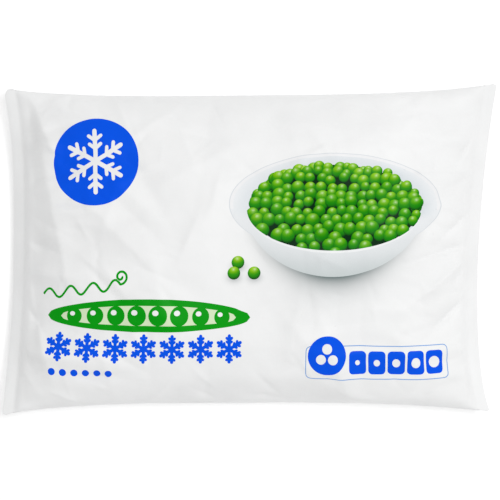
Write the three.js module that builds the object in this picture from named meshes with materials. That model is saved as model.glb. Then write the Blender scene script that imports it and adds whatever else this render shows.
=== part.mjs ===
// A filled pillow bag of frozen vegetables, lying on its back with its printed front up.
// One tube of plastic film is sealed flat across its left and right ends. The filling makes the tube
// thick, which draws all four sides in and leaves the corners standing out, and the slack film lies
// in broad soft folds over it.
// Millimetres. X runs along the bag, Y up its printed front, Z up from the surface it lies on. The
// origin is under the middle of the bag, on that surface.
import * as THREE from "three";

const LENGTH = 300;
const WIDTH = 201;
const THICKNESS = 47;
const FILM = 0.6; // both layers of film where they are sealed flat together
const SEAL_WIDTH = 7.4; // in plan
const SEAL_HEIGHT = 9; // of the end seals' inner edges above the surface, at the middle of each end
const SEAL_DROP = { left: 4.5, right: 7 }; // how much lower their outer edges hang there
const CORNER_LIFT = 5; // how much higher the four corners stand than the middle of an end seal
const SIDE_HEIGHT = 17; // of the long sides' widest line above the surface, at half the length
const CORNER_RADIUS = 2.5;
const TOP_LEFT_RADIUS = 6;

// The four corners in plan. The two that reach furthest set the length and the width.
const CORNERS = {
  topLeft: [-LENGTH / 2 + 0.6, WIDTH / 2 - 3],
  topRight: [LENGTH / 2, WIDTH / 2],
  bottomRight: [LENGTH / 2 - 3.8, -WIDTH / 2 + 2.4],
  bottomLeft: [-LENGTH / 2, -WIDTH / 2],
};

// How far each side is drawn in, and the shape of its curve. Lean under 1 moves the deepest place
// towards the side's start, and flatness makes the curve run straight for longer.
const SIDES = {
  left: { depth: 6.1, lean: 1.25, flatness: 2.6 }, // from the bottom corner to the top one
  right: { depth: 8.6, lean: 0.74, flatness: 2 },
  bottom: { depth: 6.4, lean: 0.85, flatness: 3 }, // from the left corner to the right one
  top: { depth: 5.3, lean: 1, flatness: 4 },
};

// The swell of the filling: how the height falls off along the bag and across it.
const SWELL = { along: 3, alongPower: 0.55, across: 2, acrossPower: 0.5 };
const UNDERSIDE_DEPTH = 27; // how far the underside would hang below its edges if nothing held it up
const TOUCHDOWN = 3; // over how much height the underside bends into its flat patch

// Pleats where the full film is gathered into the flat end seals. Every other one is a hollow, and
// the margin beside each corner stays clear of them.
const PLEATS = { perEnd: 9, height: 1.9, hollow: -0.8, width: 4.6, length: 17, slant: 0.35, margin: 12 };
const PLEAT_SEEDS = { front: 11, back: 29 };

// Broad soft folds of the slack front. Each has its middle, its direction in degrees from X, its
// half length and half width, and its height, which is under 0 for a hollow.
const FOLDS = [
  // across the middle
  { x: -70, y: 0, turn: -34, reach: 42, spread: 10, height: 1.9 },
  { x: -54, y: -13, turn: -30, reach: 38, spread: 8, height: -2.0 },
  { x: -18, y: 56, turn: -50, reach: 24, spread: 9, height: -2.2 },
  { x: 68, y: 64, turn: 20, reach: 18, spread: 10, height: 2.0 },
  { x: 82, y: -40, turn: 10, reach: 28, spread: 11, height: 1.9 },
  { x: 10, y: -78, turn: 4, reach: 60, spread: 7, height: 1.5 },
  // beside the left seal
  { x: -133, y: 14, turn: -85, reach: 62, spread: 6, height: -2.6 },
  { x: -118, y: 24, turn: -78, reach: 50, spread: 9, height: 2.8 },
  { x: -135, y: 64, turn: -80, reach: 34, spread: 6, height: -3.0 },
  { x: -125, y: 74, turn: -66, reach: 24, spread: 6, height: 2.2 },
  { x: -126, y: 2, turn: -20, reach: 16, spread: 6, height: -2.5 },
  { x: -127, y: -13, turn: 2, reach: 12, spread: 4.5, height: 2.4 },
  { x: -132, y: -38, turn: -54, reach: 17, spread: 5, height: -2.5 },
  { x: -127, y: -48, turn: -75, reach: 24, spread: 5.5, height: 2.4 },
  // beside the right seal
  { x: 136, y: 72, turn: 64, reach: 22, spread: 4.5, height: -2.9 },
  { x: 127, y: 17, turn: 42, reach: 14, spread: 4.5, height: -2.6 },
  { x: 115, y: -2, turn: 17, reach: 20, spread: 6, height: -3.2 },
  { x: 119, y: -16, turn: 38, reach: 22, spread: 5.5, height: 2.5 },
  { x: 123, y: -36, turn: 44, reach: 18, spread: 5, height: -3.0 },
  { x: 131, y: -10, turn: 52, reach: 12, spread: 4.5, height: -2.2 },
];
const SETTLING = { end: 14, side: 12 }; // over how much of the edge folds and pleats die out

const COLUMNS = 54; // steps along the bag between the end seals
const SEAL_COLUMNS = 2;
const ROWS = 48; // steps across the bag

const { smoothstep } = THREE.MathUtils;
const mix = (a, b, t) => a + (b - a) * t;
const bell = (t) => Math.exp(-t * t);

// A number from 0 to 1 that looks random and is always the same for the same seed.
function scatter(seed) {
  const value = Math.sin(seed * 12.9898 + 4.1) * 43758.5453;
  return value - Math.floor(value);
}

// A point on one side's curve, where t runs from its start corner to its end corner.
function sidePoint(start, end, side, inward, t) {
  const bow = side.depth * (1 - Math.abs(2 * t ** side.lean - 1) ** side.flatness);
  return [
    mix(start[0], end[0], t) + inward[0] * bow,
    mix(start[1], end[1], t) + inward[1] * bow,
  ];
}

// The plan position of the film at (s, t), each from 0 to 1, blended from the four sides.
function planPoint(s, t) {
  const { topLeft, topRight, bottomRight, bottomLeft } = CORNERS;
  const left = sidePoint(bottomLeft, topLeft, SIDES.left, [1, 0], t);
  const right = sidePoint(bottomRight, topRight, SIDES.right, [-1, 0], t);
  const bottom = sidePoint(bottomLeft, bottomRight, SIDES.bottom, [0, 1], s);
  const top = sidePoint(topLeft, topRight, SIDES.top, [0, -1], s);
  return [0, 1].map((axis) => {
    const across = mix(left[axis], right[axis], s) + mix(bottom[axis], top[axis], t);
    const corners = mix(
      mix(bottomLeft[axis], bottomRight[axis], s),
      mix(topLeft[axis], topRight[axis], s),
      t,
    );
    return across - corners;
  });
}

// How full the bag is at (along, across), each from -1 to 1 between the seals and the long sides.
function fullness(along, across) {
  const lengthways = Math.max(0, 1 - Math.abs(along) ** SWELL.along) ** SWELL.alongPower;
  const widthways = Math.max(0, 1 - Math.abs(across) ** SWELL.across) ** SWELL.acrossPower;
  return lengthways * widthways;
}

// The height of the line where front and back meet, carried on through the whole bag.
function middleHeight(along, across) {
  const seal = SEAL_HEIGHT + CORNER_LIFT * Math.abs(across) ** 4;
  return mix(SIDE_HEIGHT, seal, Math.min(1, Math.abs(along)) ** 2.5);
}

// The pleats beside one end seal, at a distance inwards from it. End is -1 or 1.
function pleatHeight(end, inwards, y, seed) {
  let height = 0;
  for (let k = 0; k < PLEATS.perEnd; k++) {
    const draw = scatter(seed + k * 7 + end);
    const place = (k + 0.5 + 0.5 * (draw - 0.5)) / PLEATS.perEnd - 0.5;
    const centre = place * (WIDTH - 2 * PLEATS.margin);
    const length = PLEATS.length * mix(0.6, 1.3, scatter(seed + k * 3 + 2 * end));
    const lean = PLEATS.slant * place * inwards;
    const rise = (inwards / length) * Math.exp(1 - inwards / length);
    const size = PLEATS.height * (k % 2 ? 1 : PLEATS.hollow) * mix(0.5, 1, draw);
    height += size * rise * bell((y - centre - lean) / PLEATS.width);
  }
  return height;
}

// The broad folds of the front.
function foldHeight(x, y) {
  let height = 0;
  for (const fold of FOLDS) {
    const turn = THREE.MathUtils.degToRad(fold.turn);
    const dx = x - fold.x;
    const dy = y - fold.y;
    const along = dx * Math.cos(turn) + dy * Math.sin(turn);
    const across = dy * Math.cos(turn) - dx * Math.sin(turn);
    height += fold.height * bell(along / fold.reach) * bell(across / fold.spread);
  }
  return height;
}

// Bends a height that falls below 0 smoothly into the flat patch the bag lies on.
function restOnSurface(height) {
  if (height > TOUCHDOWN) return height;
  if (height < -TOUCHDOWN) return 0;
  return (height + TOUCHDOWN) ** 2 / (4 * TOUCHDOWN);
}

// The film's two points, front and back, at (s, t).
function filmPoints(s, t) {
  const seal = SEAL_WIDTH / LENGTH;
  const along = THREE.MathUtils.clamp((2 * (s - seal)) / (1 - 2 * seal) - 1, -1, 1);
  const across = 2 * t - 1;
  const end = s < 0.5 ? -1 : 1;
  const inwards = (Math.min(s, 1 - s) - seal) * LENGTH;
  const outwards = Math.max(0, -inwards / SEAL_WIDTH);
  let [x, y] = planPoint(s, t);
  const full = fullness(along, across);
  const drop = end < 0 ? SEAL_DROP.left : SEAL_DROP.right;
  const middle = middleHeight(along, across) - drop * outwards * (1 - across ** 2);
  let front = middle + FILM / 2 + (THICKNESS - SIDE_HEIGHT) * full;
  let back = middle - FILM / 2 - UNDERSIDE_DEPTH * full;
  if (inwards > 0) {
    const fromSide = Math.min(t, 1 - t) * WIDTH;
    const soft = smoothstep(inwards, 0, SETTLING.end) * smoothstep(fromSide, 0, SETTLING.side);
    front += soft * (foldHeight(x, y) + pleatHeight(end, inwards, y, PLEAT_SEEDS.front));
    back -= soft * pleatHeight(end, inwards, y, PLEAT_SEEDS.back);
  }
  x -= end * outwards * cornerInset(s, t);
  return { front: [x, y, front], back: [x, y, restOnSurface(back)] };
}

// How far the outer end of a seal is rounded back at (s, t).
function cornerInset(s, t) {
  const radius = s < 0.5 && t > 0.5 ? TOP_LEFT_RADIUS : CORNER_RADIUS;
  const reach = Math.max(0, radius - Math.min(t, 1 - t) * WIDTH);
  return radius - Math.sqrt(radius ** 2 - reach ** 2);
}

// The steps along the bag: even ones across each seal, and closer ones near the seals.
function columnPlaces() {
  const seal = SEAL_WIDTH / LENGTH;
  const places = [];
  for (let i = 0; i < SEAL_COLUMNS; i++) places.push((seal * i) / SEAL_COLUMNS);
  for (let i = 0; i <= COLUMNS; i++) {
    const even = i / COLUMNS;
    const crowded = (1 - Math.cos(Math.PI * even)) / 2;
    places.push(mix(seal, 1 - seal, mix(even, crowded, 0.5)));
  }
  for (let i = 1; i <= SEAL_COLUMNS; i++) places.push(1 - seal + (seal * i) / SEAL_COLUMNS);
  return places;
}

// The steps across the bag: closer near the round long sides.
function rowPlaces() {
  const places = [];
  for (let j = 0; j <= ROWS; j++) places.push((1 - Math.cos((Math.PI * j) / ROWS)) / 2);
  return places;
}

// One closed solid: a grid for the front, a grid for the back, and a thin wall round the edge.
function bagGeometry() {
  const columns = columnPlaces();
  const rows = rowPlaces();
  const across = rows.length;
  const points = { front: [], back: [] };
  for (const s of columns) {
    for (const t of rows) {
      const film = filmPoints(s, t);
      points.front.push(...film.front);
      points.back.push(...film.back);
    }
  }
  const count = columns.length * across;
  const indices = [];
  const quad = (a, b, c, d) => indices.push(a, b, c, a, c, d);
  for (let i = 0; i + 1 < columns.length; i++) {
    for (let j = 0; j + 1 < across; j++) {
      const a = i * across + j;
      const b = a + across;
      quad(a, b, b + 1, a + 1);
      quad(count + a, count + a + 1, count + b + 1, count + b);
    }
  }
  const wall = (a, b) => quad(a, count + a, count + b, b);
  for (let i = 0; i + 1 < columns.length; i++) {
    wall(i * across, (i + 1) * across);
    wall((i + 2) * across - 1, (i + 1) * across - 1);
  }
  for (let j = 0; j + 1 < across; j++) {
    wall(j + 1, j);
    wall(count - across + j, count - across + j + 1);
  }
  const geometry = new THREE.BufferGeometry();
  const positions = new Float32Array([...points.front, ...points.back]);
  geometry.setAttribute("position", new THREE.BufferAttribute(positions, 3));
  geometry.setIndex(indices);
  geometry.computeVertexNormals();
  geometry.computeBoundingBox();
  const centre = geometry.boundingBox.getCenter(new THREE.Vector3());
  geometry.translate(-centre.x, -centre.y, 0);
  return geometry;
}

const film = new THREE.MeshStandardMaterial({
  color: new THREE.Color(0.93, 0.94, 0.94),
  roughness: 0.4,
  metalness: 0,
});

const bag = new THREE.Mesh(bagGeometry(), film);
bag.name = "bag";

const group = new THREE.Group();
group.name = "frozen_vegetable_bag";
group.add(bag);

export default group;
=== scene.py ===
# A sealed pillow bag of frozen peas, lying on its back, seen from straight above.
# The film is one closed mesh. A cloth simulation fills it with pressure between its two pinned end
# seals, and takes its lengths from the empty film laid flat. The print is part of the mesh: the
# faces follow the outline of each field of ink, and their corners hold its colour.
# Lengths are millimetres until a mesh is made.
import math

import bpy
import numpy as np
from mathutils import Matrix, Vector
from mathutils.geometry import delaunay_2d_cdt

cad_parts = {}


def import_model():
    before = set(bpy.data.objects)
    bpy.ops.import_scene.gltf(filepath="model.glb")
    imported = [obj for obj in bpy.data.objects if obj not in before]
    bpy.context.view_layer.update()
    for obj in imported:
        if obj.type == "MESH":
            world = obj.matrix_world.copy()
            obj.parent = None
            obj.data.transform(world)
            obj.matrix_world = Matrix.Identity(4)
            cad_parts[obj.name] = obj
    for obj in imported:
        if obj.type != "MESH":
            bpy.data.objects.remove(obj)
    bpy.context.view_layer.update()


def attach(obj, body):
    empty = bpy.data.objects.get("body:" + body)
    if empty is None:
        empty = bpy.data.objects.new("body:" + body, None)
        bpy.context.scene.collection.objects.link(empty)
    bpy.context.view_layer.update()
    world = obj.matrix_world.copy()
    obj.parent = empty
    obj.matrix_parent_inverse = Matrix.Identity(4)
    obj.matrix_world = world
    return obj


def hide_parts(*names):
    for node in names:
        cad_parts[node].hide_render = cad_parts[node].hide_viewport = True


MM = 0.001

# The bag, as the frame has it
LENGTH = 300.0
WIDTH = 201.0
THICKNESS = 47.0
SEAL_WIDTH = 7.4
SEAL_HEIGHT = 9.0
LEFT_SEAL_DROP = 4.5
RIGHT_SEAL_DROP = 7.0
CORNER_LIFT = 5.0
SIDE_HEIGHT = 17.0
CORNER_RADIUS = 2.5
TOP_LEFT_RADIUS = 6.0
FIN_WIDTH = 12.0
FIN_THICKNESS = 0.4
SWELL_ALONG = (3, 0.55)
SWELL_ACROSS = (2, 0.5)
UNDERSIDE_DEPTH = 27.0
TOUCHDOWN = 3.0
SEAL = SEAL_WIDTH / LENGTH  # as a share of the length

CORNERS = {
    "top_left": (-LENGTH / 2 + 0.6, WIDTH / 2 - 3),
    "top_right": (LENGTH / 2, WIDTH / 2),
    "bottom_right": (LENGTH / 2 - 3.8, -WIDTH / 2 + 2.4),
    "bottom_left": (-LENGTH / 2, -WIDTH / 2),
}
# How far each side is drawn in, where it is deepest and how straight its middle runs
SIDES = {
    "left": (6.1, 1.25, 2.6),
    "right": (8.6, 0.74, 2.0),
    "bottom": (6.4, 0.85, 3.0),
    "top": (5.3, 1.0, 4.0),
}
# Pleats where the full film is gathered into the flat end seals. Every other one is a hollow.
PLEATS_PER_END = 9
PLEAT_HEIGHT = 1.9
PLEAT_HOLLOW = -0.8
PLEAT_WIDTH = 4.6
PLEAT_LENGTH = 17.0
PLEAT_SLANT = 0.35
PLEAT_MARGIN = 12.0
PLEAT_JITTER = 0.5  # of the way from one pleat to the next
PLEAT_HEIGHTS = (0.5, 1.0)  # the range of the share of the height, and of the length, that each has
PLEAT_LENGTHS = (0.6, 1.3)
# Broad soft folds of the front: middle, direction in degrees, half length, half width, height
FOLDS = (
    # across the middle
    (-70, 0, -34, 42, 10, 1.9),
    (-54, -13, -30, 38, 8, -2.0),
    (-18, 56, -50, 24, 9, -2.2),
    (68, 64, 20, 18, 10, 2.0),
    (82, -40, 10, 28, 11, 1.9),
    (10, -78, 4, 60, 7, 1.5),
    # beside the left seal
    (-133, 14, -85, 62, 6, -2.6),
    (-118, 24, -78, 50, 9, 2.8),
    (-135, 64, -80, 34, 6, -3.0),
    (-125, 74, -66, 24, 6, 2.2),
    (-126, 2, -20, 16, 6, -2.5),
    (-127, -13, 2, 12, 4.5, 2.4),
    (-132, -38, -54, 17, 5, -2.5),
    (-127, -48, -75, 24, 5.5, 2.4),
    # beside the right seal
    (136, 72, 64, 22, 4.5, -2.9),
    (127, 17, 42, 14, 4.5, -2.6),
    (115, -2, 17, 20, 6, -3.2),
    (119, -16, 38, 22, 5.5, 2.5),
    (123, -36, 44, 18, 5, -3.0),
    (131, -10, 52, 12, 4.5, -2.2),
)
# Each fold beside a seal has a sharp crease along it. Its width and height are shares of the fold's.
SHARP_FROM = 110  # how far from the bag's middle such a fold lies at least
SHARP_WIDTH = 0.5
SHARP_HEIGHT_LEFT = 0.4
SHARP_HEIGHT_RIGHT = 0.85

# The film before it is filled
FLAT_LENGTH = 288.0  # between the two end seals
FLAT_WIDTH = 204.0  # of the flattened tube
HALF_LENGTH = FLAT_LENGTH / 2 + SEAL_WIDTH  # with the end seals
HALF_WIDTH = FLAT_WIDTH / 2
HALF_FILM = 0.15  # half the thickness of an end seal
LAYER_LIFT = 0.4  # how far each layer of the flattened tube lies off its middle

# The simulation
CELL = 3.1
SCALE = 10.0  # the solver is steadier on a bag ten times as large
FRAMES = 40
PRESSURE = 12.0
FLOOR_SIZE = 20.0  # in metres at that scale, as the gap is
FLOOR_GAP = 0.01

# The fine mesh
FRONT_STEP = 1.2
BACK_STEP = 2.4
OUTLINE_STEP = 1.6  # along the outlines of the print
ON_BORDER = 1e-3  # how close a point lies to the border that it is on
# Low bumps where the peas show through the film. Jitter and radius are shares of the spacing.
BUMP_FIELD = (340.0, 240.0)  # a little more than the flat film
BUMP_SPACING = 8.4
BUMP_HEIGHT = 0.2
BUMP_JITTER = 0.32
BUMP_RADIUS = 0.5
BUMP_LEAST = 0.2
# Small creases of three sizes: how many, half length, half width, slope, and how evenly they lie
# along the bag. A value below 1 brings them nearer to its ends.
CREASES = (
    (44, (18, 40), (7, 12), 0.22, 0.9),
    (130, (8, 20), (3, 5.5), 0.30, 0.65),
    (260, (3.5, 9), (1.5, 2.6), 0.28, 0.5),
)
CREASE_TURN = (-38, 0)  # their mean direction in degrees, in the bag's middle and at its ends
CREASE_TURN_SPREAD = (55, 34)
CREASE_LEAST = 0.35  # the least height as a share of the greatest
# The seeds of the relief on each side
FRONT_SEEDS = {"pleats": 11, "creases": 41, "bumps": 5}
BACK_SEEDS = {"pleats": 29, "creases": 42, "bumps": 6}
# How far from a seal, and from a side edge, each kind of relief has its full height
FOLD_FADE = (14.0, 26.0)
CREASE_FADE = (7.0, 12.0)
BUMP_FADE = 24.0
UNDERSIDE_FADE = (3.0, 9.0)  # the heights over which the back's relief fades in above its flat patch
SEAL_FADE = 4.0  # how far inside a seal its two films part
EDGE_FADE = 0.5


def mix(a, b, t):
    return a + (b - a) * t


def bell(t):
    return np.exp(-t * t)


def smooth_step(low, high, value):
    t = np.clip((value - low) / (high - low), 0, 1)
    return t * t * (3 - 2 * t)


def side_point(start, end, side, inward, t):
    """Points on one side's curve, where t runs from its start corner to its end corner."""
    depth, lean, flatness = side
    bow = depth * (1 - np.abs(2 * t**lean - 1) ** flatness)
    return np.stack([mix(start[k], end[k], t) + inward[k] * bow for k in (0, 1)], -1)


def plan_points(s, t):
    """The plan position of the film at (s, t), each from 0 to 1, blended from the four sides."""
    names = ("bottom_left", "bottom_right", "top_left", "top_right")
    bl, br, tl, tr = (np.array(CORNERS[name]) for name in names)
    left = side_point(bl, tl, SIDES["left"], (1, 0), t)
    right = side_point(br, tr, SIDES["right"], (-1, 0), t)
    bottom = side_point(bl, br, SIDES["bottom"], (0, 1), s)
    top = side_point(tl, tr, SIDES["top"], (0, -1), s)
    s, t = s[..., None], t[..., None]
    corners = mix(mix(bl, br, s), mix(tl, tr, s), t)
    return mix(left, right, s) + mix(bottom, top, t) - corners


def corner_inset(s, t):
    """How far the outer end of a seal is rounded back at (s, t)."""
    radius = np.where((s < 0.5) & (t > 0.5), TOP_LEFT_RADIUS, CORNER_RADIUS)
    reach = np.maximum(0, radius - np.minimum(t, 1 - t) * WIDTH)
    return radius - np.sqrt(radius**2 - reach**2)


def middle_height(along, across):
    """The height of the line where front and back meet, carried on through the bag."""
    seal = SEAL_HEIGHT + CORNER_LIFT * np.abs(across) ** 4
    return mix(SIDE_HEIGHT, seal, np.minimum(1, np.abs(along)) ** 2.5)


def rest_on_surface(height):
    """Bends a height that falls below 0 smoothly into the flat patch that the bag lies on."""
    bent = (height + TOUCHDOWN) ** 2 / (4 * TOUCHDOWN)
    return np.where(height > TOUCHDOWN, height, np.where(height < -TOUCHDOWN, 0.0, bent))


def plain_film(s, t, front):
    """The smooth film at (s, t) between the seals, as the frame's solid has it without its folds."""
    along = np.clip(2 * (s - SEAL) / (1 - 2 * SEAL) - 1, -1, 1)
    across = 2 * t - 1
    lengthways = np.maximum(0, 1 - np.abs(along) ** SWELL_ALONG[0]) ** SWELL_ALONG[1]
    widthways = np.maximum(0, 1 - np.abs(across) ** SWELL_ACROSS[0]) ** SWELL_ACROSS[1]
    full = lengthways * widthways
    height = middle_height(along, across)
    if front:
        height = height + (THICKNESS - SIDE_HEIGHT) * full
    else:
        height = FIN_THICKNESS + rest_on_surface(height - FIN_THICKNESS - UNDERSIDE_DEPTH * full)
    plan = plan_points(s, t)
    return np.stack([plan[..., 0], plan[..., 1], height], -1)


def even_section(s, front, count):
    """The film across the bag at s, in points an even way apart along it."""
    fine = (1 - np.cos(np.linspace(0, math.pi, 401))) / 2
    points = plain_film(np.full_like(fine, s), fine, front)
    way = np.concatenate([[0], np.cumsum(np.linalg.norm(np.diff(points, axis=0), axis=1))])
    wanted = np.linspace(0, way[-1], count + 1)
    return np.stack([np.interp(wanted, way, points[:, k]) for k in range(3)], -1)


def plain_tube(columns, rows):
    """The plain bag as a grid of rings. A ring runs over the front and returns under the back."""
    grid = np.zeros((columns + 1, 2 * rows, 3))
    for i in range(columns + 1):
        s = mix(SEAL, 1 - SEAL, i / columns)
        grid[i, : rows + 1] = even_section(s, True, rows)
        back = even_section(s, False, rows)[::-1]
        grid[i, rows + 1 :] = back[1:-1]
    return grid


def flat_tube(columns, rows):
    """The empty film laid flat, as a grid of the same rings."""
    x = np.linspace(-FLAT_LENGTH / 2, FLAT_LENGTH / 2, columns + 1)
    y = np.linspace(-FLAT_WIDTH / 2, FLAT_WIDTH / 2, rows + 1)
    ring = np.concatenate([y, y[-2:0:-1]])
    lift = np.concatenate([np.ones(rows + 1), -np.ones(rows - 1)])
    lift[[0, rows]] = 0
    grid = np.zeros((columns + 1, 2 * rows, 3))
    grid[..., 0] = x[:, None]
    grid[..., 1] = ring[None, :]
    grid[1:-1, :, 2] = LAYER_LIFT * lift
    return grid


def blow_up(start, flat, rows):
    """Fills the film with pressure between its pinned end seals, on a floor, and lets it settle."""
    columns = len(start) - 1
    index = np.zeros((columns + 1, 2 * rows), int)
    ring = np.arange(2 * rows)
    folded = np.minimum(ring, 2 * rows - ring)
    index[0] = folded
    for i in range(1, columns):
        index[i] = rows + 1 + (i - 1) * 2 * rows + ring
    index[columns] = rows + 1 + (columns - 1) * 2 * rows + folded
    count = index.max() + 1
    places = {}
    for name, grid in (("start", start), ("flat", flat)):
        points = np.zeros((count, 3))
        points[index] = grid
        places[name] = points * MM * SCALE
    after = (ring + 1) % (2 * rows)
    faces = np.stack([index[:-1], index[1:], index[1:][:, after], index[:-1][:, after]], -1)
    mesh = bpy.data.meshes.new("blown_film")
    mesh.from_pydata(places["start"].tolist(), [], faces.reshape(-1, 4).tolist())
    film = bpy.data.objects.new("blown_film", mesh)
    bpy.context.scene.collection.objects.link(film)
    film.shape_key_add(name="start")
    rest = film.shape_key_add(name="flat")
    rest.data.foreach_set("co", places["flat"].ravel())
    pins = film.vertex_groups.new(name="seals")
    pins.add(np.unique(index[[0, columns]]).tolist(), 1.0, "REPLACE")

    bpy.ops.mesh.primitive_plane_add(size=FLOOR_SIZE)
    floor = bpy.context.object
    floor.modifiers.new("Collision", "COLLISION")
    floor.collision.thickness_outer = FLOOR_GAP
    floor.collision.cloth_friction = 20

    cloth = film.modifiers.new("Cloth", "CLOTH")
    settings = cloth.settings
    settings.vertex_group_mass = "seals"
    settings.rest_shape_key = rest
    settings.quality = 8
    settings.mass = 0.6
    settings.tension_stiffness = 120
    settings.compression_stiffness = 40
    settings.shear_stiffness = 30
    settings.bending_stiffness = 0.8
    settings.tension_damping = 10
    settings.compression_damping = 10
    settings.shear_damping = 10
    settings.bending_damping = 1
    settings.air_damping = 4
    settings.use_pressure = True
    settings.uniform_pressure_force = PRESSURE
    cloth.collision_settings.distance_min = FLOOR_GAP
    cloth.collision_settings.use_self_collision = False
    cloth.point_cache.frame_end = FRAMES
    for frame in range(1, FRAMES + 1):
        bpy.context.scene.frame_set(frame)
    settled = film.evaluated_get(bpy.context.evaluated_depsgraph_get()).to_mesh()
    points = np.zeros(count * 3)
    settled.vertices.foreach_get("co", points)
    grid = points.reshape(-1, 3)[index] / (MM * SCALE)
    bpy.context.scene.frame_set(1)
    bpy.data.objects.remove(film)
    bpy.data.objects.remove(floor)
    return grid


def fit_to_frame(grid, plain):
    """Scales each ring to the plain bag's width and height where it lies."""
    fitted = grid.copy()
    for ring, model in zip(fitted[1:-1], plain[1:-1]):
        for axis in (1, 2):
            low, high = ring[:, axis].min(), ring[:, axis].max()
            share = (ring[:, axis] - low) / (high - low)
            ring[:, axis] = mix(model[:, axis].min(), model[:, axis].max(), share)
    return fitted


def spline_weights(t):
    """The shares of the four neighbours in a smooth curve through them."""
    return (
        0.5 * (-(t**3) + 2 * t**2 - t),
        0.5 * (3 * t**3 - 5 * t**2 + 2),
        0.5 * (-3 * t**3 + 4 * t**2 + t),
        0.5 * (t**3 - t**2),
    )


class Film:
    """The filled film as a smooth surface over its flat length and width."""

    def __init__(self, grid):
        before = 2 * grid[:1] - grid[1:2]
        after = 2 * grid[-1:] - grid[-2:-1]
        self.grid = np.concatenate([before, grid, after])
        self.columns = len(grid) - 1
        self.rows = grid.shape[1] // 2

    def between_seals(self, u, v, front):
        """The smooth surface at film position (u, v), with u held between the seals."""
        i = np.clip(u / FLAT_LENGTH + 0.5, 0, 1) * self.columns
        j = np.clip(v / FLAT_WIDTH + 0.5, 0, 1) * self.rows
        if not front:
            j = 2 * self.rows - j
        i0 = np.minimum(i.astype(int), self.columns - 1)
        j0 = np.floor(j).astype(int)
        along = spline_weights(i - i0)
        around = spline_weights(j - j0)
        points = np.zeros((*u.shape, 3))
        for a in range(4):
            for b in range(4):
                corner = self.grid[i0 + a, (j0 + b - 1) % (2 * self.rows)]
                points += (along[a] * around[b])[..., None] * corner
        return points

    def smooth(self, u, v, front):
        """The surface at (u, v), with its two flat end seals, before any relief."""
        points = self.between_seals(u, v, front)
        past = np.clip((np.abs(u) - FLAT_LENGTH / 2) / SEAL_WIDTH, 0, 1)
        s = np.where(u < 0, SEAL * (1 - past), 1 - SEAL * (1 - past))
        t = np.clip(v / FLAT_WIDTH + 0.5, 0, 1)
        inner = plan_points(np.where(u < 0, SEAL, 1 - SEAL), t)
        outer = plan_points(s, t)
        end = np.where(u < 0, -1, 1)
        points[..., 0] += (outer - inner)[..., 0] - end * past * corner_inset(s, t)
        points[..., 1] += (outer - inner)[..., 1]
        drop = np.where(u < 0, LEFT_SEAL_DROP, RIGHT_SEAL_DROP)
        points[..., 2] -= drop * past * (1 - (2 * t - 1) ** 2)
        return points

    def normals(self, u, v, front):
        step = 0.5
        along = self.smooth(u + step, v, front) - self.smooth(u - step, v, front)
        across = self.smooth(u, v + step, front) - self.smooth(u, v - step, front)
        normal = np.cross(along, across) * (1 if front else -1)
        return normal / np.maximum(1e-9, np.linalg.norm(normal, axis=-1, keepdims=True))


def scatter(seed):
    """A number from 0 to 1 that looks random and is always the same for the same seed."""
    value = math.sin(seed * 12.9898 + 4.1) * 43758.5453
    return value - math.floor(value)


def pleat_height(end, inwards, y, seed):
    """The pleats beside one end seal, at a distance inwards from it. End is -1 or 1."""
    height = np.zeros_like(y)
    for k in range(PLEATS_PER_END):
        draw = scatter(seed + k * 7 + end)
        place = (k + 0.5 + PLEAT_JITTER * (draw - 0.5)) / PLEATS_PER_END - 0.5
        length = PLEAT_LENGTH * mix(*PLEAT_LENGTHS, scatter(seed + k * 3 + 2 * end))
        off = y - place * (WIDTH - 2 * PLEAT_MARGIN) - PLEAT_SLANT * place * inwards
        size = PLEAT_HEIGHT * (1 if k % 2 else PLEAT_HOLLOW) * mix(*PLEAT_HEIGHTS, draw)
        rise = inwards / length * np.exp(1 - inwards / length)
        height += size * rise * bell(off / PLEAT_WIDTH)
    return height


def fold_height(x, y, folds, crest=bell):
    """The height of a list of folds at (x, y). Crest is the shape of a fold's section."""
    height = np.zeros_like(x)
    for middle_x, middle_y, turn, reach, spread, rise in folds:
        c, s = math.cos(math.radians(turn)), math.sin(math.radians(turn))
        along = (x - middle_x) * c + (y - middle_y) * s
        across = (y - middle_y) * c - (x - middle_x) * s
        height += rise * bell(along / reach) * crest(across / spread)
    return height


def sharp_crest(t):
    """The section of a crease, 1 high at its middle, where it is only a little rounded."""
    fall = 1.6
    rounding = 0.048
    top = 0.35  # fall times the root of rounding
    return np.exp(top - fall * np.sqrt(t * t + rounding))


def sharp_folds():
    """The sharp creases along the folds beside the two seals."""
    folds = []
    for x, y, turn, reach, spread, rise in FOLDS:
        height = SHARP_HEIGHT_LEFT if x < 0 else SHARP_HEIGHT_RIGHT
        if abs(x) > SHARP_FROM:
            folds.append((x, y, turn, reach, SHARP_WIDTH * spread, height * rise))
    return folds


def random_folds(rng, count, reach, spread, slope, evenness):
    """Folds scattered over the flat film. Those near an end seal run more along the bag."""
    folds = []
    for _ in range(count):
        share = rng.uniform(-1, 1)
        near_end = abs(share) ** evenness
        u = math.copysign(near_end, share) * FLAT_LENGTH / 2
        v = rng.uniform(-0.5, 0.5) * FLAT_WIDTH
        turn = rng.normal(mix(*CREASE_TURN, near_end**2), mix(*CREASE_TURN_SPREAD, near_end))
        width = rng.uniform(*spread)
        rise = rng.choice((-1, 1)) * rng.uniform(CREASE_LEAST, 1) * slope * width
        folds.append((u, v, turn, rng.uniform(*reach), width, rise))
    return folds


def crease_height(u, v, seed):
    """The fine relief of the crumpled film."""
    rng = np.random.default_rng(seed)
    return sum(fold_height(u, v, random_folds(rng, *size), sharp_crest) for size in CREASES)


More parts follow.
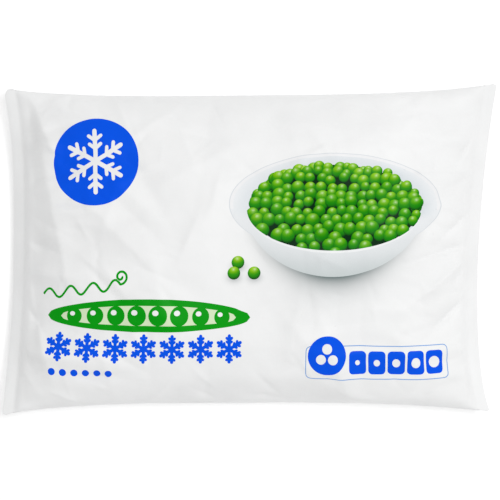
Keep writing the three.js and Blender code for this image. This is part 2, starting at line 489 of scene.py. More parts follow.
def pea_bumps(u, v, seed):
    """The low bumps of the peas under the film, one at a jittered place in each cell."""
    rng = np.random.default_rng(seed)
    across, down = (int(size / BUMP_SPACING) for size in BUMP_FIELD)
    jitter = rng.uniform(-BUMP_JITTER, BUMP_JITTER, (across, down, 2))
    strength = rng.uniform(BUMP_LEAST, 1.0, (across, down)) ** 2
    x, y = u / BUMP_SPACING + across / 2, v / BUMP_SPACING + down / 2
    i0, j0 = x.astype(int), y.astype(int)
    height = np.zeros_like(u)
    for di in (-1, 0, 1):
        for dj in (-1, 0, 1):
            i, j = np.clip(i0 + di, 0, across - 1), np.clip(j0 + dj, 0, down - 1)
            dx = x - (i + 0.5 + jitter[i, j, 0])
            dy = y - (j + 0.5 + jitter[i, j, 1])
            height = np.maximum(height, strength[i, j] * bell(np.hypot(dx, dy) / BUMP_RADIUS))
    return height


def film_points(film, u, v, front):
    """The finished film at (u, v): the smooth surface, its folds, its creases and the peas' bumps."""
    points = film.smooth(u, v, front)
    side = 1 if front else -1
    seeds = FRONT_SEEDS if front else BACK_SEEDS
    inwards = np.maximum(0, FLAT_LENGTH / 2 - np.abs(u))
    from_side = HALF_WIDTH - np.abs(v)
    clear = 1 if front else smooth_step(*UNDERSIDE_FADE, points[..., 2])
    soft = smooth_step(0, FOLD_FADE[0], inwards) * smooth_step(0, FOLD_FADE[1], from_side)
    creased = smooth_step(0, CREASE_FADE[0], inwards) * smooth_step(0, CREASE_FADE[1], from_side) * clear
    for end in (-1, 1):
        pleats = pleat_height(end, inwards, points[..., 1], seeds["pleats"])
        points[..., 2] += side * clear * soft * np.where(u * end > 0, pleats, 0)
    if front:
        x, y = points[..., 0], points[..., 1]
        points[..., 2] += soft * fold_height(x, y, FOLDS)
        points[..., 2] += creased * fold_height(x, y, sharp_folds(), sharp_crest)
    relief = creased * crease_height(u, v, seeds["creases"])
    relief += smooth_step(0, BUMP_FADE, inwards) * clear * BUMP_HEIGHT * pea_bumps(u, v, seeds["bumps"])
    points += film.normals(u, v, front) * relief[..., None]
    edge = np.minimum(from_side, HALF_LENGTH - np.abs(u))
    sealed = smooth_step(SEAL_FADE, 0, inwards) * np.clip(edge / EDGE_FADE, 0, 1)
    points[..., 2] += side * HALF_FILM * sealed
    return points


# Print


def ink(red, green, blue):
    """An ink's colour from 0 to 255 a channel, as the linear colour that a material reads."""
    share = np.array([red, green, blue]) / 255
    return np.where(share <= 0.04045, share / 12.92, ((share + 0.055) / 1.055) ** 2.4)


WHITE = np.ones(3)
BLUE = ink(0, 90, 246)
LIGHT_BLUE = ink(120, 170, 235)
GREEN = ink(0, 162, 14)
# A snowflake's branches: where on an arm a pair starts and how long it is, in arm lengths
BRANCHES = ((0.42, 0.24), (0.68, 0.26))
BRANCH_TURN = math.pi / 3.4
BRANCH_WIDTH = 0.8  # of the arm's
# A printed pea, with lengths in its own radii
PEA_OUTLINE = (1.05, 0.96)
PEA_RINGS = ((0.36, 6), (0.72, 11))  # the points inside it that hold its shading: radius, count
PEA_LIGHT = (-0.1, 0.74, 0.62)  # the direction that it is lit from
LOW_TO_MIDDLE = (-0.55, 0.45)  # how far a face looks to the light where one green becomes the next
MIDDLE_TO_TOP = (0.4, 1.05)
GLEAM_UP = 0.56
GLEAM_SHIFT = 0.14
GLEAM_RADIUS = 0.22
GLEAM_FLATNESS = 1.3
GLEAM_SHARE = 0.6


def field(outline, colour, extra=()):
    """One field of print: its outline, its colour and any points that its shading needs."""
    outline = np.asarray(outline, float)
    if not callable(colour):
        value = np.asarray(colour, float)
        colour = lambda points: np.tile(value, (len(points), 1))
    return {"outline": outline, "colour": colour, "extra": list(extra)}


def ellipse(x, y, half_width, half_height, steps, turn=0.0):
    angle = np.linspace(0, 2 * math.pi, steps, endpoint=False)
    a, b = half_width * np.cos(angle), half_height * np.sin(angle)
    c, s = math.cos(turn), math.sin(turn)
    return np.stack([x + a * c - b * s, y + a * s + b * c], -1)


def bar(x0, y0, x1, y1, width):
    """A straight stroke with round ends."""
    turn = math.atan2(y1 - y0, x1 - x0)
    half = np.linspace(-math.pi / 2, math.pi / 2, 5)
    first = [(x1 + width / 2 * math.cos(turn + a), y1 + width / 2 * math.sin(turn + a)) for a in half]
    last = [(x0 - width / 2 * math.cos(turn + a), y0 - width / 2 * math.sin(turn + a)) for a in half]
    return first + last


def rounded_box(x, y, width, height, radius):
    corners = ((1, 1, 0), (-1, 1, 1), (-1, -1, 2), (1, -1, 3))
    outline = []
    for sx, sy, quarter in corners:
        for step in range(4):
            angle = math.pi / 2 * (quarter + step / 3)
            cx = x + sx * (width / 2 - radius)
            cy = y + sy * (height / 2 - radius)
            outline.append((cx + radius * math.cos(angle), cy + radius * math.sin(angle)))
    return outline


def stroke(path, widths):
    """A band along a path, as wide at each of its points as widths says."""
    path = np.asarray(path, float)
    ahead = np.gradient(path, axis=0)
    side = np.stack([-ahead[:, 1], ahead[:, 0]], -1)
    side /= np.linalg.norm(side, axis=1, keepdims=True)
    reach = side * np.asarray(widths)[:, None] / 2
    return np.concatenate([path + reach, (path - reach)[::-1]])


def turned(fields, x, y, turn):
    """Plain fields turned about a point."""
    c, s = math.cos(turn), math.sin(turn)
    for item in fields:
        dx, dy = item["outline"][:, 0] - x, item["outline"][:, 1] - y
        item["outline"] = np.stack([x + dx * c - dy * s, y + dx * s + dy * c], -1)
    return fields


def snowflake(x, y, radius, width, colour):
    """Six arms, each with two pairs of side branches."""
    fields = []
    for arm in range(6):
        turn = math.pi / 6 + arm * math.pi / 3
        c, s = math.cos(turn), math.sin(turn)
        fields.append(field(bar(x, y, x + radius * c, y + radius * s, width), colour))
        for place, reach in BRANCHES:
            px, py = x + place * radius * c, y + place * radius * s
            for side in (-1, 1):
                lean = turn + side * BRANCH_TURN
                tip = (px + reach * radius * math.cos(lean), py + reach * radius * math.sin(lean))
                fields.append(field(bar(px, py, *tip, width * BRANCH_WIDTH), colour))
    return fields


def pea(x, y, radius, rng, ripe):
    """A shaded pea: yellow-green on top, deep green below, with a small pale gleam."""
    shift = rng.uniform(-GLEAM_SHIFT, GLEAM_SHIFT)
    top = mix(ink(20, 172, 0), ink(158, 216, 0), ripe)
    middle = mix(ink(0, 132, 0), ink(40, 154, 0), ripe)
    low = ink(0, 52, 12)
    gleam = ink(236, 250, 214)

    def colour(points):
        nx, ny = (points[:, 0] - x) / radius, (points[:, 1] - y) / radius
        nz = np.sqrt(np.maximum(0, 1 - nx**2 - ny**2))
        facing = (PEA_LIGHT[0] * nx + PEA_LIGHT[1] * ny + PEA_LIGHT[2] * nz)[:, None]
        shade = mix(low, middle, smooth_step(*LOW_TO_MIDDLE, facing))
        shade = mix(shade, top, smooth_step(*MIDDLE_TO_TOP, facing))
        spot = bell(np.hypot(nx - shift, (ny - GLEAM_UP) * GLEAM_FLATNESS) / GLEAM_RADIUS)[:, None]
        return mix(shade, gleam, GLEAM_SHARE * spot)

    rings = [(x + shift * radius, y + GLEAM_UP * radius), (x, y)]
    for share, count in PEA_RINGS:
        rings.extend(ellipse(x, y, share * radius, share * radius, count, share))
    outline = ellipse(x, y, radius * PEA_OUTLINE[0], radius * PEA_OUTLINE[1], 18)
    return field(outline, colour, rings)


BOWL = (56.0, 26.2)  # the middle of its rim
RIM = (67.9, 29.0)  # half widths of ellipses, here and below
BELLY = (58.6, 42.6)
HEAP_MIDDLE = (55.4, 22.9)
HEAP = (55.8, 27.7)
LIP = (56.0, 24.9)  # the bowl's front edge, which hides the heap's front, about the heap's middle
LOOSE_PEAS = ((-5.0, -7.7), (-7.4, -13.8), (5.4, -13.8))
PEA_RADIUS = 3.9  # of the loose peas
BACK_PEA_RADIUS = 3.5  # at the heap's back, from where they grow towards its front
FRONT_PEA_RADIUS = 4.2
SHADOW = ink(92, 110, 110)
SHADOW_REACH = (41.0, 7.0)  # of the bowl's shadow, to each side and below the bowl
SHADOW_START = 14.0  # how far below the rim it is full
PEA_SHADOW = (0.3, -2.6)  # the middle of a loose pea's shadow, seen from the pea's
PEA_SHADOW_REACH = (4.4, 2.8)
# The bowl's own inks
RIM_LINE = ink(229, 233, 237)
RIM_TOP = ink(251, 251, 252)
LIP_EDGE = ink(251, 252, 253)
INSIDE_LIT = ink(247, 249, 251)
INSIDE_SHADED = ink(229, 235, 239)
BODY_LIT = ink(243, 245, 247)
BODY_SHADED = ink(203, 211, 211)


def under_bowl(points):
    """The white around the bowl and the loose peas, with the shadows that they cast on it."""
    dx = points[:, 0] - BOWL[0]
    edge = BELLY[1] * np.sqrt(np.maximum(0, 1 - (dx / BELLY[0]) ** 2))
    below = np.maximum(0, BOWL[1] - edge - points[:, 1])
    dark = 0.95 * np.exp(-below / SHADOW_REACH[1]) * bell(dx / SHADOW_REACH[0])
    dark *= smooth_step(0, SHADOW_START, BOWL[1] - points[:, 1])
    for x, y in LOOSE_PEAS:
        across = (points[:, 0] - x - PEA_SHADOW[0]) / PEA_SHADOW_REACH[0]
        down = (points[:, 1] - y - PEA_SHADOW[1]) / PEA_SHADOW_REACH[1]
        dark = np.maximum(dark, 0.5 * bell(np.hypot(across, down)))
    return mix(WHITE, SHADOW, dark[:, None])


def heap_of_peas(rng):
    """Peas along the heap's back, then in uneven rows to its front, where the bowl's lip hides them."""
    x, y = HEAP_MIDDLE
    first_row = 6.5  # below the heap's top
    spacing = 1.8  # in the radii of a row's peas, as the next value is
    row_spacing = 1.25
    gaps = 0.08  # the share of peas left out in the front row
    back_ripeness = 1.1
    front_ripeness = 0.6
    fields = [field(ellipse(x, y, HEAP[0] - 2.4, HEAP[1] - 2.4, 80), ink(0, 44, 16))]

    def add(px, py, size, ripest):
        fields.append(pea(px, py, size, rng, rng.uniform(0.45, 1) * ripest))

    for angle in np.radians(np.linspace(176, 4, 31)):
        size = BACK_PEA_RADIUS * rng.uniform(0.82, 1.15)
        reach = 0.9 * size + rng.uniform(-1.3, 1.9)
        angle += rng.uniform(-0.03, 0.03)
        px, py = x + (HEAP[0] - reach) * math.cos(angle), y + (HEAP[1] - reach) * math.sin(angle)
        add(px, py, size, back_ripeness)
    row_y = y + HEAP[1] - first_row
    while row_y > y - HEAP[1]:
        depth = (y + HEAP[1] - row_y) / (2 * HEAP[1])
        radius = mix(BACK_PEA_RADIUS, FRONT_PEA_RADIUS, depth)
        rise = (row_y - y) / (HEAP[1] - radius)
        half = (HEAP[0] - radius) * math.sqrt(max(0, 1 - rise**2))
        count = max(1, round(2 * half / (spacing * radius)))
        for place in np.linspace(-half, half, count + 1):
            if rng.random() > gaps * depth:
                size = radius * rng.uniform(0.82, 1.14)
                px, py = x + place + rng.uniform(-1.1, 1.1), row_y + rng.uniform(-1.3, 1.3)
                add(px, py, size, mix(back_ripeness, front_ripeness, depth))
        row_y -= radius * row_spacing
    return fields


def bowl_fields():
    """A wide white bowl heaped with peas, with a soft shadow under it."""
    x, y = BOWL
    heap_x, heap_y = HEAP_MIDDLE

    def inside_colour(points):
        dx, dy = points[:, 0] - heap_x, points[:, 1] - heap_y
        near = np.hypot(dx / HEAP[0], dy / HEAP[1])
        deep = smooth_step(1.22, 0.98, near) * mix(0.6, 1, smooth_step(-60, 60, dx))
        return mix(INSIDE_LIT, INSIDE_SHADED, deep[:, None])

    def body_colour(points):
        down = np.clip((y - points[:, 1]) / BELLY[1], 0, 1)
        side = np.abs(points[:, 0] - x) / BELLY[0]
        tone = smooth_step(0.5, 1.15, down + 0.25 * side**2)[:, None]
        outer = mix(BODY_LIT, BODY_SHADED, tone)
        return mix(inside_colour(points), outer, smooth_step(0, 7, heap_y - points[:, 1])[:, None])

    def half_width(down):
        rim = RIM[0] * math.sqrt(max(0, 1 - (down / RIM[1]) ** 2))
        belly = BELLY[0] * math.sqrt(max(0, 1 - (down / BELLY[1]) ** 2))
        return max(rim, belly)

    rim_steps = 110
    fields = [
        field(ellipse(x, y - BELLY[1] + 4, 84, 32, 70), under_bowl),
        field(ellipse(x, y, *RIM, rim_steps), RIM_LINE),
        field(ellipse(x, y + 0.05, RIM[0] - 0.6, RIM[1] - 0.45, rim_steps), RIM_TOP),
        field(ellipse(x, y - 0.3, RIM[0] - 2.6, RIM[1] - 1.6, rim_steps), inside_colour),
    ]
    fields += heap_of_peas(np.random.default_rng(12))
    angle = np.radians(np.linspace(0, -180, 72))
    lip = np.stack([heap_x + LIP[0] * np.cos(angle), heap_y + LIP[1] * np.sin(angle)], -1)
    first_down = y - heap_y
    downs = first_down + (BELLY[1] - first_down) * np.sin(np.linspace(0, math.pi / 2, 40))
    left = [(x - half_width(down) + 0.6, y - down) for down in downs]
    right = [(x + half_width(down) - 0.6, y - down) for down in downs[-2::-1]]
    fields.append(field(np.concatenate([lip, left, right]), body_colour))
    fields.append(field(stroke(lip, 0.1 + 1.3 * np.abs(np.sin(angle))), LIP_EDGE))
    return fields


def loose_peas():
    """A few peas on the white beside the bowl, each with its shadow."""
    rng = np.random.default_rng(3)
    fields = [field(ellipse(x, y + PEA_SHADOW[1], 8, 6.5, 24), under_bowl) for x, y in LOOSE_PEAS]
    return fields + [pea(x, y, PEA_RADIUS, rng, 1.1) for x, y in LOOSE_PEAS]


POD = (-126.2, 3.6, -38.6)  # where its two tips are across, and its height on the bag
POD_PEAS = 8
POD_WIDTH = 19.0
POD_OPENING_WIDTH = 11.6
POD_OPENING_START = 9  # from a tip, as the row of its peas
POD_PEAS_START = 11
POD_BOW = 1.2
POD_DROP = 0.8
TENDRIL_START = (-129.5, -26.5)
TENDRIL_END = (-79, -20.0)
TENDRIL_WIDTH = 1.4
TENDRIL_WAVES = 3.5
TENDRIL_WAVE_HEIGHT = 3.0
CURL_RADIUS = 4.4
PANEL = (83.6, -67.4)
PANEL_TURN = math.radians(-1.5)
PANEL_DISC = (-31.6, 4.4)  # from the panel's middle, as the first tile
PANEL_DISC_RADIUS = 12
FIRST_TILE = -12.2
TILE_SPACING = 12.1
DISC = (-96.6, 53.0)
DISC_SIZE = (27.2, 26.6)
DISC_SNOWFLAKE = 18.6
FIRST_SNOWFLAKE = (-117.2, -58.2)
SNOWFLAKE_SPACING = 18.0
FIRST_DOT = (-121.0, -74.0)
DOT_SPACING = 7.2


def pod_fields():
    """A long pea pod, open along its middle, with its peas in a row."""
    left, right, y = POD
    s = np.linspace(0, 1, 70)
    bend = POD_BOW * np.sin(math.pi * s) - POD_DROP
    body = POD_WIDTH * np.sin(math.pi * s) ** 0.45 + 0.4
    inner = POD_OPENING_WIDTH * np.sin(math.pi * s) ** 0.4 + 0.3
    spine = np.stack([mix(left, right, s), y + bend], -1)
    opening = np.stack([mix(left + POD_OPENING_START, right - POD_OPENING_START, s), y + bend], -1)
    fields = [field(stroke(spine, body), GREEN), field(stroke(opening, inner), ink(226, 244, 205))]
    for k in range(POD_PEAS):
        share = (k + 0.5) / POD_PEAS
        px = mix(left + POD_PEAS_START, right - POD_PEAS_START, share)
        py = y + POD_BOW * math.sin(math.pi * share) - POD_DROP
        size = 4.6 + 1.4 * math.sin(math.pi * share)
        fields.append(field(ellipse(px, py, size, size, 26), GREEN))
        fields.append(field(ellipse(px - 0.25 * size, py + 0.3 * size, size * 0.34, size * 0.28, 12), WHITE))
    return fields


def flourish_fields():
    """A thin green tendril that winds upwards to the right and ends in a curl."""
    s = np.linspace(0, 1, 90)
    x = mix(TENDRIL_START[0], TENDRIL_END[0], s)
    y = mix(TENDRIL_START[1], TENDRIL_END[1], s)
    y += TENDRIL_WAVE_HEIGHT * np.sin(2 * math.pi * TENDRIL_WAVES * s)
    turn = np.linspace(0, 2.6 * math.pi, 44)
    curl = CURL_RADIUS * (1 - turn / (3.1 * math.pi))
    cx, cy = x[-1], y[-1] + CURL_RADIUS
    path = list(zip(x, y)) + list(zip(cx + curl * np.sin(turn), cy - curl * np.cos(turn)))[1:]
    return [field(stroke(path, np.full(len(path), TENDRIL_WIDTH)), GREEN)]


def panel_fields():
    """A framed row of blue tiles, each with a larger dot than the last, after a larger disc."""
    x, y = PANEL
    fields = [field(rounded_box(x, y, 90, 21, 3), LIGHT_BLUE), field(rounded_box(x, y, 89, 20, 2.6), WHITE)]
    disc_x, disc_y = x + PANEL_DISC[0], y + PANEL_DISC[1]
    fields.append(field(ellipse(disc_x, disc_y, PANEL_DISC_RADIUS, PANEL_DISC_RADIUS, 44), BLUE))
    for turn in (90, 210, 330):
        cx = disc_x + 4.3 * math.cos(math.radians(turn))
        cy = disc_y + 4.3 * math.sin(math.radians(turn))
        fields.append(field(ellipse(cx, cy, 3.1, 3.1, 18), WHITE))
    for k in range(5):
        tile_x = x + FIRST_TILE + TILE_SPACING * k
        dot = 1.5 + 0.5 * k
        fields.append(field(rounded_box(tile_x, y, 10.8, 14.4, 2.4), BLUE))
        fields.append(field(ellipse(tile_x, y, dot, dot, 18), WHITE))
    return turned(fields, x, y, PANEL_TURN)


def front_print():
    """Everything that is printed on the front, from the lowest field of ink to the highest."""
    fields = [field(ellipse(*DISC, *DISC_SIZE, 90), BLUE)]
    fields += snowflake(*DISC, DISC_SNOWFLAKE, 2.7, WHITE)
    fields += flourish_fields()
    fields += pod_fields()
    for k in range(7):
        fields += snowflake(FIRST_SNOWFLAKE[0] + SNOWFLAKE_SPACING * k, FIRST_SNOWFLAKE[1], 8.0, 2.1, BLUE)
    for k in range(6):
        fields.append(field(ellipse(FIRST_DOT[0] + DOT_SPACING * k, FIRST_DOT[1], 2.3, 2.3, 18), BLUE))
    fields += bowl_fields()
    fields += loose_peas()
    fields += panel_fields()
    return fields


def ruled_lines(left, right, top, spacing, count, width, colour):
    """Level bars below each other. Right says where each of them ends, one after another in turn."""
    heights = [top - spacing * k for k in range(count)]
    return [
        field(bar(left, y, right[k % len(right)], y, width), colour) for k, y in enumerate(heights)
    ]


def back_print():
    """A ruled panel, a small snowflake and a few lines of plain bars."""
    fields = [field(rounded_box(-70, 46, 116, 58, 4), BLUE), field(rounded_box(-70, 46, 113, 55, 3), WHITE)]
    fields += ruled_lines(-122, (-18,), 66, 8, 6, 1.2, LIGHT_BLUE)
    fields += ruled_lines(20, (118, 104), 66, 9, 5, 2.4, GREEN)
    fields += snowflake(-104, -50, 20, 3, BLUE)
    fields += ruled_lines(-66, (40, 28, 16), -36, 9, 4, 2.4, BLUE)
    return fields


def outline_points(outline):
    """An outline with points added where its sides are longer than the mesh is fine."""
    points = []
    for a, b in zip(outline, np.roll(outline, -1, axis=0)):
        pieces = max(1, math.ceil(np.linalg.norm(b - a) / OUTLINE_STEP))
        points.extend(a + (b - a) * k / pieces for k in range(pieces))
    return points


def triangulate(step, fields):
    """Splits the flat film into triangles that follow the outlines of its print."""
    columns, rows = round(2 * HALF_LENGTH / FRONT_STEP), round(2 * HALF_WIDTH / FRONT_STEP)
    edge_x = np.linspace(-HALF_LENGTH, HALF_LENGTH, columns + 1)
    edge_y = np.linspace(-HALF_WIDTH, HALF_WIDTH, rows + 1)
    border = [(x, -HALF_WIDTH) for x in edge_x[:-1]]
    border += [(HALF_LENGTH, y) for y in edge_y[:-1]]
    border += [(x, HALF_WIDTH) for x in edge_x[:0:-1]]
    border += [(-HALF_LENGTH, y) for y in edge_y[:0:-1]]
    points = list(border)
    edges = [(k, (k + 1) % len(border)) for k in range(len(border))]
    for item in fields:
        ring = outline_points(item["outline"])
        start = len(points)
        points.extend(ring)
        edges.extend((start + k, start + (k + 1) % len(ring)) for k in range(len(ring)))
        points.extend(item["extra"])
    for seam in (-FLAT_LENGTH / 2, FLAT_LENGTH / 2):
        start = len(points)
        points.extend((seam, y) for y in edge_y[1:-1])
        edges.extend((start + k, start + k + 1) for k in range(rows - 2))
    # The rest of the film is filled evenly, except where a point of the print is already close by
    cell = 0.5 * step
    margin = 0.4 * step
    taken = set(map(tuple, np.round(np.array(points) / cell).astype(int)))
    for i, x in enumerate(np.arange(-HALF_LENGTH + step, HALF_LENGTH - margin, step)):
        for y in np.arange(-HALF_WIDTH + step * (0.5 + 0.5 * (i % 2)), HALF_WIDTH - margin, step):
            if (round(x / cell), round(y / cell)) not in taken:
                points.append((x, y))
    flat = [Vector((float(x), float(y))) for x, y in points]
    merge_distance = 1e-5
    made, _, triangles, *_ = delaunay_2d_cdt(flat, edges, [], 0, merge_distance, False)
    return np.array([tuple(p) for p in made]), np.array(triangles)


def inside_outline(points, outline):
    """Which of the points lie inside a closed outline."""
    x, y = points[:, 0], points[:, 1]
    inside = np.zeros(len(points), bool)
    for (ax, ay), (bx, by) in zip(outline, np.roll(outline, -1, axis=0)):
        if ay == by:
            continue
        crosses = (ay > y) != (by > y)
        inside ^= crosses & (x < (bx - ax) * (y - ay) / (by - ay) + ax)
    return inside


def paint(points, triangles, fields):
    """The ink at each corner of each triangle. Later fields lie over earlier ones."""
    colours = np.ones((len(triangles), 3, 3))
    middles = points[triangles].mean(1)
    for item in fields:
        low, high = item["outline"].min(0), item["outline"].max(0)
        near = np.flatnonzero(((middles >= low) & (middles <= high)).all(1))
        chosen = near[inside_outline(middles[near], item["outline"])]
        corners = points[triangles[chosen]].reshape(-1, 2)
        colours[chosen] = item["colour"](corners).reshape(-1, 3, 3)
    return colours


def build_film(film):
    """One closed mesh of front and back, joined along the border that they share."""

    def sheet(front, step, fields):
        flat, triangles = triangulate(step, fields)
        points = film_points(film, flat[:, 0], flat[:, 1], front)
        return flat, triangles, points, paint(flat, triangles, fields)

    def border(flat):
        x, y = np.abs(flat[:, 0]), np.abs(flat[:, 1])
        return (x > HALF_LENGTH - ON_BORDER) | (y > HALF_WIDTH - ON_BORDER)

    front_flat, front_triangles, front_points, front_colours = sheet(True, FRONT_STEP, front_print())
    back_flat, back_triangles, back_points, back_colours = sheet(False, BACK_STEP, back_print())
    shared = {tuple(np.round(front_flat[k], 2)): k for k in np.flatnonzero(border(front_flat))}
    number = np.zeros(len(back_flat), int)
    added = []
    for k, on_border in enumerate(border(back_flat)):
        if on_border:
            number[k] = shared[tuple(np.round(back_flat[k], 2))]
        else:
            number[k] = len(front_flat) + len(added)
            added.append(k)
    points = np.concatenate([front_points, back_points[added]])
    triangles = np.concatenate([front_triangles, number[back_triangles][:, ::-1]])
    colours = np.concatenate([front_colours, back_colours[:, ::-1]])
    places = np.concatenate([
        map_place(front_flat[front_triangles], True),
        map_place(back_flat[back_triangles][:, ::-1], False),
    ])
    sealed = np.abs(front_flat[:, 0]) > FLAT_LENGTH / 2 - ON_BORDER
    sharp = np.zeros(len(points), bool)
    sharp[: len(front_flat)] = border(front_flat) & sealed
    return make_piece("bag_film", points, triangles, colours, places, sharp)


# The square map of the finish, in shares of its side. The front lies above the smaller back.
MAP_MARGIN = 0.01
MAP_LENGTH = 0.98
MAP_FRONT_FLOOR = 0.33
MAP_BACK_SCALE = 0.46
MAP_FIN_HEIGHT = 0.06
MAP_FIN_FLOOR = 0.94
# The back seal
FIN_MARGIN = 1  # from the bag's ends
FIN_COLUMNS = 240
FIN_OVERLAP = 0.6  # beyond the middle of the back
FIN_INNER = 0.04  # how high its two faces lie above the film
FIN_OUTER = FIN_THICKNESS - 0.05
RIB_HEIGHT = 0.03
RIB_SPACING = 1.8
RIB_WIDTH = 11.0


def build_fin(film):
    """The back seal: a flat flap along the middle of the back, folded over to one side."""
    reach = HALF_LENGTH - FIN_MARGIN
    u = np.linspace(-reach, reach, FIN_COLUMNS)
    across = np.array([-FIN_OVERLAP, 0.4, 2.4, 4.8, 7.2, 9.6, RIB_WIDTH, FIN_WIDTH - FIN_OVERLAP])
    grid_u, grid_v = np.meshgrid(u, across, indexing="ij")
    points = film_points(film, grid_u.ravel(), grid_v.ravel(), False).reshape(*grid_u.shape, 3)
    outwards = film.normals(grid_u.ravel(), grid_v.ravel(), False).reshape(points.shape)
    ribbed = (grid_v > 0) & (grid_v < RIB_WIDTH)
    ribs = RIB_HEIGHT * np.cos(2 * math.pi * grid_u / RIB_SPACING) * ribbed
    inner = points + outwards * FIN_INNER
    outer = points + outwards * (FIN_OUTER + ribs)[..., None]
    count = points[..., 0].size
    columns, rows = points.shape[:2]
    number = np.arange(count).reshape(columns, rows)
    triangles = []
    for shift, flip in ((0, False), (count, True)):
        a, b = number[:-1, :-1] + shift, number[1:, :-1] + shift
        c, d = number[1:, 1:] + shift, number[:-1, 1:] + shift
        for corners in ((a, b, c), (a, c, d)):
            ring = np.stack([corner.ravel() for corner in corners], -1)
            triangles.append(ring[:, ::-1] if flip else ring)
    border = np.concatenate([number[:-1, 0], number[-1, :-1], number[:0:-1, -1], number[0, :0:-1]])
    after = np.roll(border, -1)
    triangles.append(np.stack([border + count, after + count, after], -1))
    triangles.append(np.stack([border + count, after, border], -1))
    triangles = np.concatenate(triangles)
    flat = np.stack([grid_u.ravel(), grid_v.ravel()], -1)
    places = map_place(np.concatenate([flat, flat])[triangles], False)
    places = places * [1, MAP_FIN_HEIGHT] + [0, MAP_FIN_FLOOR]
    colours = np.ones((len(triangles), 3, 3))
    both = np.concatenate([inner.reshape(-1, 3), outer.reshape(-1, 3)])
    return make_piece("back_seal", both, triangles, colours, places)


def map_place(flat, front):
    """Where a point of the film lies on the square map that its finish can be baked to."""
    scale = MAP_LENGTH / (2 * HALF_LENGTH) * (1 if front else MAP_BACK_SCALE)
    corner = np.array([MAP_MARGIN, MAP_FRONT_FLOOR if front else MAP_MARGIN])
    return corner + (flat + np.array([HALF_LENGTH, HALF_WIDTH])) * scale


def make_piece(name, points, triangles, colours, places, sharp=None):
    """A mesh object with its ink and its map. Edges whose two ends are both sharp aren't smoothed."""
    mesh = bpy.data.meshes.new(name)
    mesh.from_pydata((points * MM).tolist(), [], triangles.tolist())
    mesh.polygons.foreach_set("use_smooth", np.ones(len(triangles), bool))
    if sharp is not None:
        ends = np.zeros(len(mesh.edges) * 2, np.int32)
        mesh.edges.foreach_get("vertices", ends)
        mesh.edges.foreach_set("use_edge_sharp", sharp[ends].reshape(-1, 2).all(1))
    attribute = mesh.color_attributes.new("ink", "FLOAT_COLOR", "CORNER")
    rgba = np.concatenate([colours.reshape(-1, 3), np.ones((len(triangles) * 3, 1))], 1)
    attribute.data.foreach_set("color", rgba.astype(np.float32).ravel())
    layer = mesh.uv_layers.new(name="OFBake")
    layer.uv.foreach_set("vector", places.reshape(-1, 2).astype(np.float32).ravel())
    mesh.validate()
    piece = bpy.data.objects.new(name, mesh)
    bpy.context.scene.collection.objects.link(piece)
    return piece


# The film's finish
TINT = (("Red", 0.996), ("Green", 1.0), ("Blue", 1.0))
NOISE_RANGE = (0.3, 0.7)  # what a noise spans that gives the tone or the roughness its range
TONE_RANGE = (0.86, 0.9)
ROUGHNESS_RANGE = (0.34, 0.46)
CREASE_DEPTH = 0.6
GRAIN_DEPTH = 0.1


def set_inputs(node, values):
    for name, value in values.items():
        node.inputs[name].default_value = value


def film_material():
    """White plastic film: satin, a little uneven in tone and gloss, and finely creased."""
    material = bpy.data.materials.new("printed_film")
    material.use_nodes = True
    nodes, links = material.node_tree.nodes, material.node_tree.links
    shader = nodes["Principled BSDF"]
    set_inputs(shader, {"IOR": 1.5, "Specular IOR Level": 0.08})
    place = nodes.new("ShaderNodeTexCoord")

    def noise(scale, detail, roughness=0.5):
        node = nodes.new("ShaderNodeTexNoise")
        set_inputs(node, {"Scale": scale, "Detail": detail, "Roughness": roughness})
        links.new(place.outputs["Object"], node.inputs["Vector"])
        return node.outputs["Fac"]

    def ranged(value, low, high, to_low, to_high):
        node = nodes.new("ShaderNodeMapRange")
        set_inputs(node, {"From Min": low, "From Max": high, "To Min": to_low, "To Max": to_high})
        links.new(value, node.inputs["Value"])
        return node.outputs["Result"]

    ink_node = nodes.new("ShaderNodeAttribute")
    ink_node.attribute_name = "ink"
    tone = ranged(noise(38, 5), *NOISE_RANGE, *TONE_RANGE)
    tint = nodes.new("ShaderNodeCombineColor")
    for channel, share in TINT:
        part = nodes.new("ShaderNodeMath")
        part.operation = "MULTIPLY"
        part.inputs[1].default_value = share
        links.new(tone, part.inputs[0])
        links.new(part.outputs[0], tint.inputs[channel])
    printed = nodes.new("ShaderNodeMix")
    printed.data_type = "RGBA"
    printed.blend_type = "MULTIPLY"
    printed.inputs["Factor"].default_value = 1
    links.new(ink_node.outputs["Color"], printed.inputs["A"])
    links.new(tint.outputs["Color"], printed.inputs["B"])
    links.new(printed.outputs["Result"], shader.inputs["Base Color"])
    roughness = ranged(noise(60, 4), *NOISE_RANGE, *ROUGHNESS_RANGE)
    links.new(roughness, shader.inputs["Roughness"])

    crease = nodes.new("ShaderNodeBump")
    set_inputs(crease, {"Strength": 0.5, "Distance": CREASE_DEPTH * MM})
    links.new(noise(120, 6, 0.6), crease.inputs["Height"])
    grain = nodes.new("ShaderNodeBump")
    set_inputs(grain, {"Strength": 0.25, "Distance": GRAIN_DEPTH * MM})
    links.new(noise(900, 2), grain.inputs["Height"])
    links.new(crease.outputs["Normal"], grain.inputs["Normal"])
    links.new(grain.outputs["Normal"], shader.inputs["Normal"])
    return material


# The stage and its light, with the sizes of the floor and of the lamps in metres
STAGE_SIZE = 4.0
SKY = 0.59
FLOOR_GLOW = 0.2
LAMP_SIZE = 0.6
# Each lamp's name, watts, direction in degrees from X as seen from above, height in degrees, distance
LAMPS = (("key", 5.0, 22.0, 61.0, 1350.0), ("overhead", 1.34, 90.0, 89.0, 850.0))


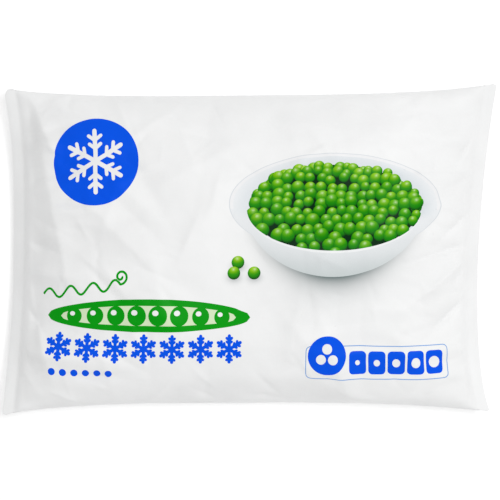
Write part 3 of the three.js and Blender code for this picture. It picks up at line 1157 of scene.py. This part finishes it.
def build_stage():
    bpy.ops.mesh.primitive_plane_add(size=STAGE_SIZE)
    floor = bpy.context.object
    floor.name = "floor"
    material = bpy.data.materials.new("pale_floor")
    material.use_nodes = True
    shader = material.node_tree.nodes["Principled BSDF"]
    set_inputs(shader, {"Base Color": (0.95, 0.95, 0.95, 1), "Roughness": 0.9})
    set_inputs(shader, {"Emission Color": (1, 1, 1, 1), "Emission Strength": FLOOR_GLOW})
    floor.data.materials.append(material)

    world = bpy.data.worlds.new("studio")
    bpy.context.scene.world = world
    world.use_nodes = True
    set_inputs(world.node_tree.nodes["Background"], {"Color": (1, 1, 1, 1), "Strength": SKY})
    for name, watts, azimuth, elevation, distance in LAMPS:
        light = bpy.data.lights.new(name, "AREA")
        light.shape = "DISK"
        light.size = LAMP_SIZE
        light.energy = watts
        turn, rise = math.radians(azimuth), math.radians(elevation)
        level = math.cos(rise)
        away = Vector((math.cos(turn) * level, math.sin(turn) * level, math.sin(rise)))
        lamp = bpy.data.objects.new(name, light)
        lamp.location = away * distance * MM
        lamp.rotation_euler = (-away).to_track_quat("-Z", "Y").to_euler()
        bpy.context.scene.collection.objects.link(lamp)


CAMERA_DISTANCE = 1500.0  # above the bag's outline
CAMERA_SHIFT = (0.3, -0.3)
VIEW_WIDTH = 303.0  # what the photograph's frame spans at the outline
OUTLINE_HEIGHT = 14.0
SENSOR = 36.0


def build_camera():
    camera = bpy.data.cameras.new("camera")
    camera.sensor_width = SENSOR
    camera.lens = SENSOR * CAMERA_DISTANCE / VIEW_WIDTH
    holder = bpy.data.objects.new("camera", camera)
    holder.location = [value * MM for value in (*CAMERA_SHIFT, CAMERA_DISTANCE + OUTLINE_HEIGHT)]
    bpy.context.scene.collection.objects.link(holder)
    bpy.context.scene.camera = holder
    bpy.context.scene.view_settings.view_transform = "Standard"


def main():
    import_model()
    columns = round(FLAT_LENGTH / CELL)
    rows = round(FLAT_WIDTH / CELL)
    plain = plain_tube(columns, rows)
    grid = plain
    grid = fit_to_frame(blow_up(plain, flat_tube(columns, rows), rows), plain)
    film = Film(grid)
    material = film_material()
    for piece in (build_film(film), build_fin(film)):
        piece.data.materials.append(material)
        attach(piece, "root")
        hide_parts("bag")
    build_stage()
    build_camera()


main()
